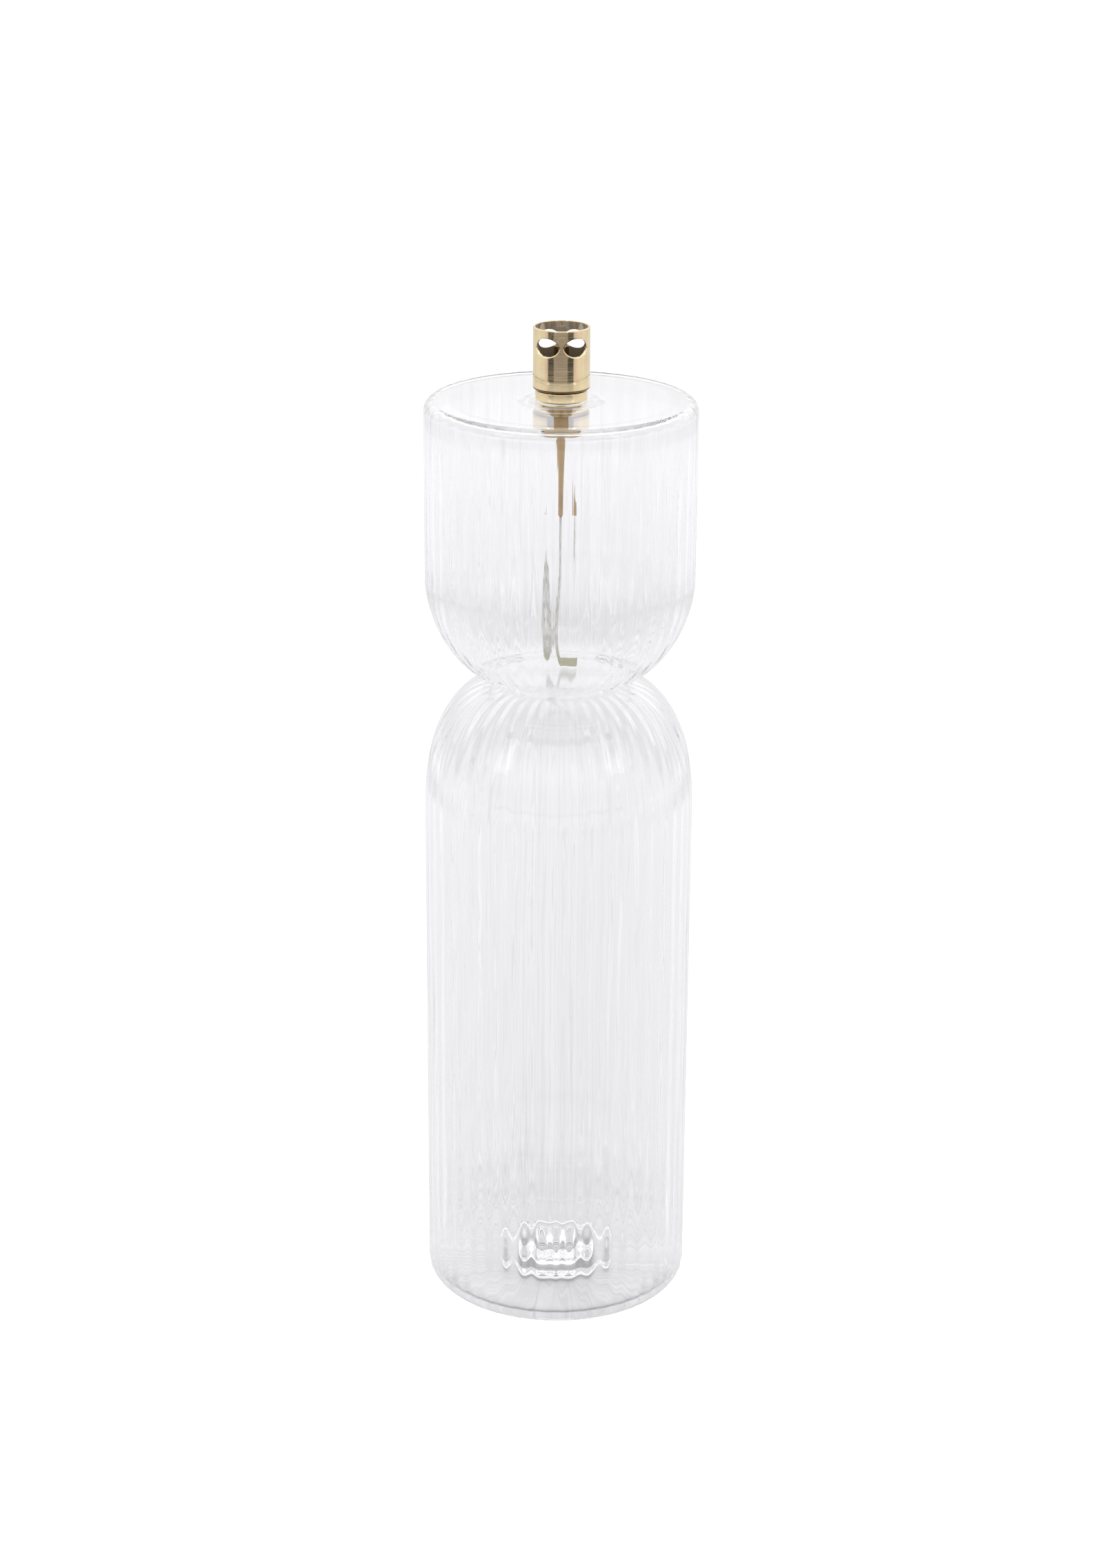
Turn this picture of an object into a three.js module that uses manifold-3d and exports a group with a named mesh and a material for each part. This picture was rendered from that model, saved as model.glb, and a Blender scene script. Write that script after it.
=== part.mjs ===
// Glass oil lamp: a ribbed reservoir bonded on a ribbed stand, with a lift-out brass burner and its wick.
// Millimetres, +Z up, the lamp's axis is the Z axis and it stands on Z = 0.
import * as THREE from 'three';
import Module from 'manifold-3d';

const wasm = await Module();
wasm.setup();

// Overall sizes
const STAND_DIAMETER = 86;
const STAND_HEIGHT = 209.5;
const RESERVOIR_DIAMETER = 85;
const RESERVOIR_HEIGHT = 90;
const SEAT_DIAMETER = 37;
const BOND = 0.3;

// Ribs
const RIB_COUNT = 44;
const RIB_DEPTH = 0.3;

// Stand
const STAND_WALL = 2;
const STAND_TOP_WALL = 2.2;
const DOME_HEIGHT = 42;
const DOME_FULLNESS = 2.23;
const FOOT_RADIUS = 4;
const BASE_THICKNESS = 3.2;
const KICK_RADIUS = 25;
const KICK_HEIGHT = 3.5;
const VENT_DIAMETER = 8;

// Reservoir
const RESERVOIR_WALL = 1.8;
const TOP_THICKNESS = 2;
const FLOOR_THICKNESS = 2;
const BOWL_HEIGHT = 33;
const BOWL_FULLNESS = 1.78;
const TOP_EDGE_RADIUS = 3.4;
const MOUTH_DIAMETER = 14.2;

// Burner plug and its seal
const FLANGE_OVERLAP = 1;
const FLANGE_HEIGHT = 2.9;
const MOUTH_CLEARANCE = 0.4;
const SEAL_SECTION = 1.5;
const SEAL_CLEARANCE = 0.3;
const SPIGOT_LAND = 1.15;
const CONE_HEIGHT = 3.4;
const CONE_LIP = 0.7;

// Wick tube
const WICK_DIAMETER = 3;
const WICK_CLEARANCE = 0.3;
const TUBE_WALL = 0.5;
const TUBE_CLEARANCE = 0.3;
const TUBE_ABOVE_FLANGE = 13.6;
const TUBE_BELOW_TOP = 36.5;

// Sleeve
const SLEEVE_DIAMETER = 17.6;
const SLEEVE_HEIGHT = 19.2;
const SLEEVE_WALL = 0.8;
const SLEEVE_FLOOR = 1;
const AIR_HOLE_SPREAD = 66; // degrees between the two holes of a pair, at the front and at the back
const AIR_HOLE_WIDTH = 8;
const AIR_HOLE_HEIGHT = 5.7;
const AIR_HOLE_BELOW_RIM = 5.3;

// Wick
const WICK_ABOVE_TUBE = 2.6;

// Gap kept between pieces that touch
const GAP = 0.3;

// Heights along the lamp's axis
const reservoirBase = STAND_HEIGHT + BOND;
const glassTop = reservoirBase + RESERVOIR_HEIGHT;
const flangeBase = glassTop + GAP;
const flangeTop = flangeBase + FLANGE_HEIGHT;
const sleeveBase = flangeTop + GAP;
const sleeveRim = sleeveBase + SLEEVE_HEIGHT;
const tubeTop = flangeTop + TUBE_ABOVE_FLANGE;
const tubeBase = glassTop - TUBE_BELOW_TOP;
const wickTip = tubeTop + WICK_ABOVE_TUBE;

// Radii that follow from the sizes above
const wickRadius = WICK_DIAMETER / 2;
const tubeBore = wickRadius + WICK_CLEARANCE;
const tubeRadius = tubeBore + TUBE_WALL;
const plugBore = tubeRadius + TUBE_CLEARANCE;
const mouthRadius = MOUTH_DIAMETER / 2;
const spigotRadius = mouthRadius - MOUTH_CLEARANCE;
const sealOuter = mouthRadius - SEAL_CLEARANCE;
const sealInner = sealOuter - SEAL_SECTION;
const grooveRadius = sealInner - SEAL_CLEARANCE;
const sealCentre = glassTop - TOP_THICKNESS / 2;
const grooveHalf = SEAL_SECTION / 2 + SEAL_CLEARANCE;
const spigotBase = sealCentre - grooveHalf - SPIGOT_LAND;

// The wick's free stretch, from the tube's lower end to its end on the reservoir's floor
const WICK_ROUTE = [
  [0, 0, 263.0], [0, 0, 260.0], [0, 0, 257.0], [-0.05, 0, 254.0], [-0.2, -0.05, 250.5], [-0.5, -0.15, 247.0],
  [-0.95, -0.3, 243.0], [-1.5, -0.5, 239.0], [-2.1, -0.65, 235.0], [-2.65, -0.75, 231.0],
  [-3.05, -0.75, 227.5], [-3.15, -0.6, 224.0], [-2.8, -0.3, 220.6], [-1.9, 0.1, 217.6], [-0.5, 0.6, 215.4],
  [1.3, 1.2, 214.1], [3.2, 1.8, 213.7], [4.9, 2.3, 213.65],
];

function material(color, roughness, metalness) {
  return new THREE.MeshStandardMaterial({ color, roughness, metalness });
}

const clearGlass = material(0xe9ebee, 0.03, 0);
clearGlass.transparent = true;
clearGlass.opacity = 0.35;
const polishedBrass = material(0xc9a961, 0.16, 1);
const silicone = material(0xd9ddd6, 0.55, 0);
const glassFibre = material(0xeeece6, 0.95, 0);

function named(name, geometry, finish) {
  const mesh = new THREE.Mesh(geometry, finish);
  mesh.name = name;
  return mesh;
}

// A quarter curve from (wide, low) to (narrow, high): fullness 2 is an ellipse, and more is squarer
function shoulder(wide, narrow, low, high, fullness, steps) {
  const points = [];
  for (let i = 0; i <= steps; i += 1) {
    const angle = (i / steps) * Math.PI / 2;
    points.push([
      narrow + (wide - narrow) * Math.cos(angle) ** (2 / fullness),
      low + (high - low) * Math.sin(angle) ** (2 / fullness),
    ]);
  }
  return points;
}

// A round corner of the given radius about a centre, between two angles in degrees
function corner(centreRadius, centreHeight, radius, from, to, steps) {
  const points = [];
  for (let i = 0; i <= steps; i += 1) {
    const angle = THREE.MathUtils.degToRad(from + (to - from) * i / steps);
    points.push([centreRadius + radius * Math.cos(angle), centreHeight + radius * Math.sin(angle)]);
  }
  return points;
}

// Turns an outline of [radius, height] points about the Z axis
function turned(outline, segments) {
  const points = outline.map(([radius, height]) => new THREE.Vector2(Math.max(radius, 0), height));
  return new THREE.LatheGeometry(points, segments).rotateX(Math.PI / 2);
}

// Turns an outline, and sinks every other column by the rib depth times the share at that point
function ribbed(outline, share) {
  const geometry = turned(outline, 2 * RIB_COUNT);
  const position = geometry.attributes.position;
  for (let column = 1; column < 2 * RIB_COUNT; column += 2) {
    for (let row = 0; row < outline.length; row += 1) {
      const [radius, height, outer] = outline[row];
      if (outer && radius > 0) {
        const index = column * outline.length + row;
        const scale = 1 - RIB_DEPTH * share(radius, height) / radius;
        position.setXY(index, position.getX(index) * scale, position.getY(index) * scale);
      }
    }
  }
  geometry.computeVertexNormals();
  return geometry;
}

function asOuter(points) {
  return points.map(([radius, height]) => [radius, height, true]);
}

function standGlass() {
  const outside = STAND_DIAMETER / 2;
  const seat = SEAT_DIAMETER / 2;
  const inside = outside - RIB_DEPTH - STAND_WALL;
  const domeBase = STAND_HEIGHT - DOME_HEIGHT;
  const vent = VENT_DIAMETER / 2;
  const innerFoot = Math.max(FOOT_RADIUS - STAND_WALL, 1);
  const kick = (radius) => KICK_HEIGHT * Math.cos(Math.min(radius / KICK_RADIUS, 1) * Math.PI / 2) ** 2;
  const kickSteps = [0, 0.25, 0.5, 0.75, 1].map((step) => vent + (KICK_RADIUS - vent) * step);
  const underside = kickSteps.map((radius) => [radius, kick(radius)]);
  const innerFloor = underside.map(([radius, height]) => [radius, height + BASE_THICKNESS]);
  const outline = [
    [0, STAND_HEIGHT - STAND_TOP_WALL],
    ...shoulder(inside, seat - STAND_TOP_WALL, domeBase, STAND_HEIGHT - STAND_TOP_WALL, DOME_FULLNESS, 8).reverse(),
    ...corner(inside - innerFoot, BASE_THICKNESS + innerFoot, innerFoot, 0, -90, 2),
    ...innerFloor.reverse(),
    ...underside,
    ...asOuter(corner(outside - FOOT_RADIUS, FOOT_RADIUS, FOOT_RADIUS, -90, 0, 4)),
    ...asOuter(shoulder(outside, seat, domeBase, STAND_HEIGHT, DOME_FULLNESS, 10)),
    [0, STAND_HEIGHT],
  ];
  const share = (radius, height) => {
    const onDome = Math.min((radius - seat) / (outside - seat), 1);
    const onFoot = Math.min(height / FOOT_RADIUS, 1);
    return Math.max(Math.min(onDome, onFoot), 0);
  };
  return named('stand_glass', ribbed(outline, share), clearGlass);
}

function reservoirGlass() {
  const outside = RESERVOIR_DIAMETER / 2;
  const seat = SEAT_DIAMETER / 2;
  const inside = outside - RIB_DEPTH - RESERVOIR_WALL;
  const innerSeat = seat - RESERVOIR_WALL / 2;
  const bowlTop = reservoirBase + BOWL_HEIGHT;
  const floor = reservoirBase + FLOOR_THICKNESS;
  const underTop = glassTop - TOP_THICKNESS;
  const innerEdge = Math.max(TOP_EDGE_RADIUS - RESERVOIR_WALL, 0.8);
  const flat = outside - TOP_EDGE_RADIUS;
  const outline = [
    [0, reservoirBase],
    ...asOuter(shoulder(outside, seat, bowlTop, reservoirBase, BOWL_FULLNESS, 10).reverse()),
    ...asOuter(corner(flat, glassTop - TOP_EDGE_RADIUS, TOP_EDGE_RADIUS, 0, 90, 4)),
    [mouthRadius, glassTop],
    [mouthRadius, underTop],
    ...corner(inside - innerEdge, underTop - innerEdge, innerEdge, 90, 0, 2),
    ...shoulder(inside, innerSeat, bowlTop, floor, BOWL_FULLNESS, 8),
    [0, floor],
  ];
  const share = (radius, height) => {
    const onBowl = Math.min((radius - seat) / (outside - seat), 1);
    const onEdge = Math.min((glassTop - height) / TOP_EDGE_RADIUS, 1);
    return Math.max(Math.min(onBowl, onEdge), 0);
  };
  return named('reservoir_glass', ribbed(outline, share), clearGlass);
}

function burnerPlug() {
  const chamfer = 0.4;
  const flange = mouthRadius + FLANGE_OVERLAP;
  const coneBase = spigotBase - CONE_HEIGHT;
  const outline = [
    [plugBore, flangeTop],
    [plugBore, coneBase],
    [plugBore + CONE_LIP, coneBase],
    [spigotRadius, spigotBase],
    [spigotRadius, sealCentre - grooveHalf],
    [grooveRadius, sealCentre - grooveHalf],
    [grooveRadius, sealCentre + grooveHalf],
    [spigotRadius, sealCentre + grooveHalf],
    [spigotRadius, flangeBase],
    [flange, flangeBase],
    [flange, flangeTop - chamfer],
    [flange - chamfer, flangeTop],
    [plugBore, flangeTop],
  ];
  return named('burner_plug', turned(outline, 48), polishedBrass);
}

function sealRing() {
  const centreRadius = (sealOuter + sealInner) / 2;
  const outline = corner(centreRadius, sealCentre, SEAL_SECTION / 2, 0, 360, 10);
  outline[outline.length - 1] = outline[0];
  return named('seal_ring', turned(outline, 40), silicone);
}

function wickTube() {
  const outline = [
    [tubeBore, tubeTop],
    [tubeBore, tubeBase],
    [tubeRadius, tubeBase],
    [tubeRadius, tubeTop],
    [tubeBore, tubeTop],
  ];
  return named('wick_tube', turned(outline, 24), polishedBrass);
}

// Makes a closed solid that manifold-3d can cut, with its repeated corners welded
function solid(geometry) {
  const source = geometry.index ? geometry.toNonIndexed() : geometry;
  const positions = source.attributes.position;
  const places = new Map();
  const corners = [];
  const triangles = [];
  for (let i = 0; i < positions.count; i += 1) {
    const point = [positions.getX(i), positions.getY(i), positions.getZ(i)];
    const key = point.map((value) => Math.round(value * 1e4)).join(',');
    if (!places.has(key)) {
      places.set(key, corners.length / 3);
      corners.push(...point);
    }
    triangles.push(places.get(key));
  }
  const kept = [];
  for (let i = 0; i < triangles.length; i += 3) {
    const [a, b, c] = triangles.slice(i, i + 3);
    if (a !== b && b !== c && a !== c) kept.push(a, b, c);
  }
  const mesh = new wasm.Mesh({
    numProp: 3,
    vertProperties: new Float32Array(corners),
    triVerts: new Uint32Array(kept),
  });
  return new wasm.Manifold(mesh);
}

function fromSolid(body) {
  const mesh = body.getMesh();
  const geometry = new THREE.BufferGeometry();
  geometry.setAttribute('position', new THREE.BufferAttribute(new Float32Array(mesh.vertProperties), 3));
  geometry.setIndex([...mesh.triVerts]);
  geometry.computeVertexNormals();
  return geometry;
}

function burnerSleeve() {
  const outer = SLEEVE_DIAMETER / 2;
  const inner = outer - SLEEVE_WALL;
  const outline = [
    [plugBore, sleeveBase + SLEEVE_FLOOR],
    [plugBore, sleeveBase],
    [outer, sleeveBase],
    [outer, sleeveRim],
    [inner, sleeveRim],
    [inner, sleeveBase + SLEEVE_FLOOR],
    [plugBore, sleeveBase + SLEEVE_FLOOR],
  ];
  let body = solid(turned(outline, 48));
  const aside = AIR_HOLE_SPREAD / 2;
  for (const turn of [-aside, aside, 180 - aside, 180 + aside]) {
    const drill = new THREE.CylinderGeometry(AIR_HOLE_WIDTH / 2, AIR_HOLE_WIDTH / 2, outer, 24);
    drill.scale(1, 1, AIR_HOLE_HEIGHT / AIR_HOLE_WIDTH);
    drill.translate(0, outer * 0.9, 0);
    drill.rotateZ(THREE.MathUtils.degToRad(turn));
    drill.translate(0, 0, sleeveRim - AIR_HOLE_BELOW_RIM);
    body = body.subtract(solid(drill));
  }
  return named('burner_sleeve', fromSolid(body), polishedBrass);
}

function wick() {
  const length = wickTip - tubeBase;
  const geometry = new THREE.CylinderGeometry(wickRadius, wickRadius, length, 12).rotateX(Math.PI / 2);
  geometry.translate(0, 0, tubeBase + length / 2);
  return named('wick', geometry, glassFibre);
}

function wickTail() {
  const path = new THREE.CatmullRomCurve3(WICK_ROUTE.map((point) => new THREE.Vector3(...point)));
  const section = new THREE.Shape();
  for (let i = 0; i < 8; i += 1) {
    const angle = (i / 8) * 2 * Math.PI;
    const place = [wickRadius * Math.cos(angle), wickRadius * Math.sin(angle)];
    if (i === 0) section.moveTo(...place);
    else section.lineTo(...place);
  }
  section.closePath();
  const settings = { steps: 40, extrudePath: path, bevelEnabled: false };
  return named('wick_tail', new THREE.ExtrudeGeometry(section, settings), glassFibre);
}

const lamp = new THREE.Group();
lamp.add(standGlass(), reservoirGlass());
lamp.add(sealRing(), burnerPlug(), wickTube(), burnerSleeve());
lamp.add(wick(), wickTail());

export default lamp;
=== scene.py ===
import bpy
import math
from mathutils import Matrix, Vector


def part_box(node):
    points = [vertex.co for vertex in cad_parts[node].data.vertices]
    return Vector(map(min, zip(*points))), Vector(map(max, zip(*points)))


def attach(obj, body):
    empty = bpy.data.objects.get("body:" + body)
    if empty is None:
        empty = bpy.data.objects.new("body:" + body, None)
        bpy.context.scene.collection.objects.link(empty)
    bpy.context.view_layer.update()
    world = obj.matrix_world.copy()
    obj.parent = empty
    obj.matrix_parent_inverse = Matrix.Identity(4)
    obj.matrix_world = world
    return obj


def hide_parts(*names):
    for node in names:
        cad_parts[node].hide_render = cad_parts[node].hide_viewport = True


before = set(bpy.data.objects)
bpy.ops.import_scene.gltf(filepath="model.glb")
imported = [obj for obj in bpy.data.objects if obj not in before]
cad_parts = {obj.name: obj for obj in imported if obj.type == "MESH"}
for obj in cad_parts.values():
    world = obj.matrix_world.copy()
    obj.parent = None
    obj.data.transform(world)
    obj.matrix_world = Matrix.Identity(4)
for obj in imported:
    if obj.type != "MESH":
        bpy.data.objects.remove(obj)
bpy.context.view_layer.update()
print("frame loaded:", ", ".join(sorted(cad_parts)))

standLow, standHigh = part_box("stand_glass")
cupLow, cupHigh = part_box("reservoir_glass")
sealLow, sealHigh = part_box("seal_ring")
plugLow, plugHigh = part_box("burner_plug")
tubeLow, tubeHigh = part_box("wick_tube")
sleeveLow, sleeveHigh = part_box("burner_sleeve")
wickLow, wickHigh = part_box("wick")

cameraSetup = {
    "distance": 0.924,  # metres in front of the lamp's axis
    "height": 0.517,    # above the table
    "pitchDown": 20.39,
    "roll": 0.37,
    "turn": -0.0235,
    "lens": 46.9,
    "sensorHeight": 24.0,
}


def addCamera(setup):
    data = bpy.data.cameras.new("camera")
    data.sensor_fit = "VERTICAL"
    data.sensor_height = setup["sensorHeight"]
    data.lens = setup["lens"]
    data.clip_start = 0.02
    data.clip_end = 60
    camera = bpy.data.objects.new("camera", data)
    bpy.context.scene.collection.objects.link(camera)
    place = Matrix.Translation((0, -setup["distance"], setup["height"]))
    turn = Matrix.Rotation(math.radians(setup["turn"]), 4, "Z")
    tilt = Matrix.Rotation(math.radians(90 - setup["pitchDown"]), 4, "X")
    roll = Matrix.Rotation(math.radians(setup["roll"]), 4, "Z")
    camera.matrix_world = place @ turn @ tilt @ roll
    bpy.context.scene.camera = camera


addCamera(cameraSetup)


# Small helpers that every piece below uses
def linkPiece(name, mesh):
    piece = bpy.data.objects.new(name, mesh)
    bpy.context.scene.collection.objects.link(piece)
    return piece


def newTree(name, inputs):
    tree = bpy.data.node_groups.new(name, "GeometryNodeTree")
    tree.interface.new_socket("Geometry", in_out="INPUT", socket_type="NodeSocketGeometry")
    for label, kind in inputs:
        tree.interface.new_socket(label, in_out="INPUT", socket_type="NodeSocket" + kind)
    tree.interface.new_socket("Geometry", in_out="OUTPUT", socket_type="NodeSocketGeometry")
    return tree, tree.nodes.new("NodeGroupInput"), tree.nodes.new("NodeGroupOutput")


def feed(tree, socket, value):
    if isinstance(value, bpy.types.NodeSocket):
        tree.links.new(value, socket)
    else:
        socket.default_value = value


def calc(tree, operation, first, second=None, third=None):
    node = tree.nodes.new("ShaderNodeMath")
    node.operation = operation
    for socket, value in zip(node.inputs, (first, second, third)):
        if value is not None:
            feed(tree, socket, value)
    return node.outputs[0]


def combine(tree, x, y, z):
    node = tree.nodes.new("ShaderNodeCombineXYZ")
    for socket, value in zip(node.inputs, (x, y, z)):
        feed(tree, socket, value)
    return node.outputs[0]


def finishTree(tree, output, geometry, material):
    realize = tree.nodes.new("GeometryNodeRealizeInstances")
    setMaterial = tree.nodes.new("GeometryNodeSetMaterial")
    tree.links.new(geometry, realize.inputs[0])
    tree.links.new(realize.outputs[0], setMaterial.inputs["Geometry"])
    feed(tree, setMaterial.inputs["Material"], material)
    tree.links.new(setMaterial.outputs[0], output.inputs[0])


def growPiece(piece, tree, values):
    modifier = piece.modifiers.new(tree.name, "NODES")
    modifier.node_group = tree
    for item in tree.interface.items_tree:
        if item.item_type == "SOCKET" and item.in_out == "INPUT" and item.name in values:
            modifier[item.identifier] = values[item.name]
    depsgraph = bpy.context.evaluated_depsgraph_get()
    mesh = bpy.data.meshes.new_from_object(piece.evaluated_get(depsgraph), depsgraph=depsgraph)
    mesh.name = piece.name
    piece.modifiers.remove(modifier)
    old = piece.data
    piece.data = mesh
    bpy.data.meshes.remove(old)
    return piece


def meshVolume(mesh):
    mesh.calc_loop_triangles()
    points = mesh.vertices
    total = 0
    for triangle in mesh.loop_triangles:
        a, b, c = (points[i].co for i in triangle.vertices)
        total += a.dot(b.cross(c)) / 6
    return total


def faceOutwards(mesh):
    if meshVolume(mesh) < 0:
        mesh.flip_normals()


def turnedMesh(name, outline, columns, marks=None):
    verts = []
    rings = []
    shares = []
    for index, (radius, height) in enumerate(outline):
        share = marks[index] if marks else 0.0
        if radius < 1e-7:
            rings.append([len(verts)])
            verts.append((0, 0, height))
            shares.append(share)
            continue
        rings.append(range(len(verts), len(verts) + columns))
        for column in range(columns):
            angle = 2 * math.pi * column / columns
            verts.append((radius * math.cos(angle), radius * math.sin(angle), height))
            shares.append(share)
    pairs = list(zip(rings, rings[1:]))
    if outline[0][0] > 1e-7:
        pairs.append((rings[-1], rings[0]))
    faces = []
    for lower, upper in pairs:
        for column in range(columns):
            after = (column + 1) % columns
            if len(lower) == 1:
                faces.append((lower[0], upper[after], upper[column]))
            elif len(upper) == 1:
                faces.append((lower[column], lower[after], upper[0]))
            else:
                faces.append((lower[column], lower[after], upper[after], upper[column]))
    mesh = bpy.data.meshes.new(name)
    mesh.from_pydata(verts, [], faces)
    if marks:
        mesh.attributes.new("ribShare", "FLOAT", "POINT").data.foreach_set("value", shares)
    faceOutwards(mesh)
    mesh.shade_smooth()
    return mesh


def arc(centre, radius, start, end, steps):
    points = []
    for step in range(steps + 1):
        angle = math.radians(start + (end - start) * step / steps)
        points.append((centre[0] + radius * math.cos(angle), centre[1] + radius * math.sin(angle)))
    return points


# A quarter curve from wide and low to narrow and high: fullness 2 is an ellipse, and more is squarer
def shoulder(wide, narrow, low, high, fullness, steps):
    points = []
    for step in range(steps + 1):
        angle = step / steps * math.pi / 2
        points.append((
            narrow + (wide - narrow) * math.cos(angle) ** (2 / fullness),
            low + (high - low) * math.sin(angle) ** (2 / fullness),
        ))
    return points


def straight(start, end, steps):
    return [(start[0] + (end[0] - start[0]) * i / steps, start[1] + (end[1] - start[1]) * i / steps)
            for i in range(1, steps)]


def smoothstep(value):
    value = min(max(value, 0.0), 1.0)
    return value * value * (3 - 2 * value)


# Materials. Each one is a small builder round a Principled shader
def newMaterial(name):
    material = bpy.data.materials.new(name)
    material.use_nodes = True
    tree = material.node_tree
    return material, tree, tree.nodes["Principled BSDF"]


def objectNoise(tree, scale, detail=4.0, roughness=0.5, stretch=(1, 1, 1)):
    place = tree.nodes.new("ShaderNodeTexCoord")
    mapping = tree.nodes.new("ShaderNodeMapping")
    mapping.inputs["Scale"].default_value = stretch
    texture = tree.nodes.new("ShaderNodeTexNoise")
    texture.inputs["Scale"].default_value = scale
    texture.inputs["Detail"].default_value = detail
    texture.inputs["Roughness"].default_value = roughness
    tree.links.new(place.outputs["Object"], mapping.inputs["Vector"])
    tree.links.new(mapping.outputs[0], texture.inputs["Vector"])
    return texture.outputs["Fac"]


def ramp(tree, value, stops):
    node = tree.nodes.new("ShaderNodeValToRGB")
    elements = node.color_ramp.elements
    while len(elements) < len(stops):
        elements.new(0.5)
    for element, (position, color) in zip(elements, stops):
        element.position = position
        element.color = (*color, 1)
    tree.links.new(value, node.inputs[0])
    return node.outputs["Color"]


def spread(tree, value, low, high):
    node = tree.nodes.new("ShaderNodeMapRange")
    node.inputs["To Min"].default_value = low
    node.inputs["To Max"].default_value = high
    tree.links.new(value, node.inputs["Value"])
    return node.outputs["Result"]


def blendColor(tree, share, first, second):
    node = tree.nodes.new("ShaderNodeMix")
    node.data_type = "RGBA"
    tree.links.new(share, node.inputs["Factor"])
    tree.links.new(first, node.inputs["A"])
    node.inputs["B"].default_value = (*second, 1)
    return node.outputs["Result"]


def bump(tree, shader, height, strength, distance):
    node = tree.nodes.new("ShaderNodeBump")
    node.inputs["Strength"].default_value = strength
    node.inputs["Distance"].default_value = distance
    tree.links.new(height, node.inputs["Height"])
    tree.links.new(node.outputs[0], shader.inputs["Normal"])


glassFinish = {
    "tint": (0.977, 0.977, 0.981),
    "ior": 1.47,
    "waveSize": 60.0,      # slow waves in the blown surface
    "streaks": 34.0,       # fine drawn lines that run up the walls
    "streakHeight": {"standGlass": 0.000014, "cupGlass": 0.00004},
    "waveHeight": 0.00001,
    "smudgeSize": 35,
    "smudgeRoughness": 0.015,
}


# Fine lines that follow the walls upwards and fade out where the glass lies flat
def drawnStreaks(tree, scale):
    place = tree.nodes.new("ShaderNodeTexCoord")
    split = tree.nodes.new("ShaderNodeSeparateXYZ")
    tree.links.new(place.outputs["Object"], split.inputs[0])
    direction = tree.nodes.new("ShaderNodeVectorMath")
    direction.operation = "NORMALIZE"
    tree.links.new(combine(tree, split.outputs["X"], split.outputs["Y"], 0.0), direction.inputs[0])
    texture = tree.nodes.new("ShaderNodeTexNoise")
    texture.inputs["Scale"].default_value = scale
    texture.inputs["Detail"].default_value = 2.0
    texture.inputs["Roughness"].default_value = 0.5
    tree.links.new(direction.outputs[0], texture.inputs["Vector"])
    geometry = tree.nodes.new("ShaderNodeNewGeometry")
    facing = tree.nodes.new("ShaderNodeSeparateXYZ")
    tree.links.new(geometry.outputs["Normal"], facing.inputs[0])
    upright = calc(tree, "MULTIPLY_ADD", calc(tree, "ABSOLUTE", facing.outputs["Z"]), -1.0, 1.0)
    return calc(tree, "MULTIPLY", texture.outputs["Fac"], upright)


def makeClearGlass(name, settings):
    material, tree, shader = newMaterial(name)
    shader.inputs["Base Color"].default_value = (*settings["tint"], 1)
    shader.inputs["Transmission Weight"].default_value = 1
    shader.inputs["IOR"].default_value = settings["ior"]
    smudge = objectNoise(tree, settings["smudgeSize"], 5, 0.6)
    tree.links.new(spread(tree, smudge, 0.0, settings["smudgeRoughness"]), shader.inputs["Roughness"])
    waves = calc(tree, "MULTIPLY", objectNoise(tree, settings["waveSize"], 2, 0.4, (1, 1, 0.35)),
                 settings["waveHeight"])
    streaks = calc(tree, "MULTIPLY", drawnStreaks(tree, settings["streaks"]), settings["streakHeight"][name])
    bump(tree, shader, calc(tree, "ADD", waves, streaks), 1.0, 1.0)
    # Light on its way to the table or the wick passes straight through the glass
    path = tree.nodes.new("ShaderNodeLightPath")
    through = tree.nodes.new("ShaderNodeBsdfTransparent")
    mix = tree.nodes.new("ShaderNodeMixShader")
    tree.links.new(calc(tree, "MAXIMUM", path.outputs["Is Shadow Ray"], path.outputs["Is Diffuse Ray"]),
                   mix.inputs["Fac"])
    tree.links.new(shader.outputs[0], mix.inputs[1])
    tree.links.new(through.outputs[0], mix.inputs[2])
    tree.links.new(mix.outputs[0], tree.nodes["Material Output"].inputs["Surface"])
    return material


brassFinish = {
    "inside": (0.42, 0.35, 0.26),   # painted shade: the sleeve's inside is drawn darker than its outside
    "insideMetal": 0.6,
    "joint": (0.16, 0.11, 0.05),    # painted shade in the joint under the sleeve
    "jointShadeHeight": 0.0007,
    "insideFrom": 0.0007,           # how deep in the wall the painted shade of the inside starts
    "gold": (0.81, 0.675, 0.42),
    "dull": (0.75, 0.61, 0.37),
    "polish": (0.04, 0.08),
    "patinaSize": 160,
    "wearSize": 420,
    "turningSize": 900,             # the lathe's fine rings
    "turningStrength": 0.12,
    "turningHeight": 0.00002,
}


# The tube is brass too, browned by the heat of the flame; the plug takes the same brown below the top of the
# reservoir
brownedFinish = {
    "gold": (0.42, 0.29, 0.15),
    "dull": (0.33, 0.22, 0.11),
}


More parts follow.
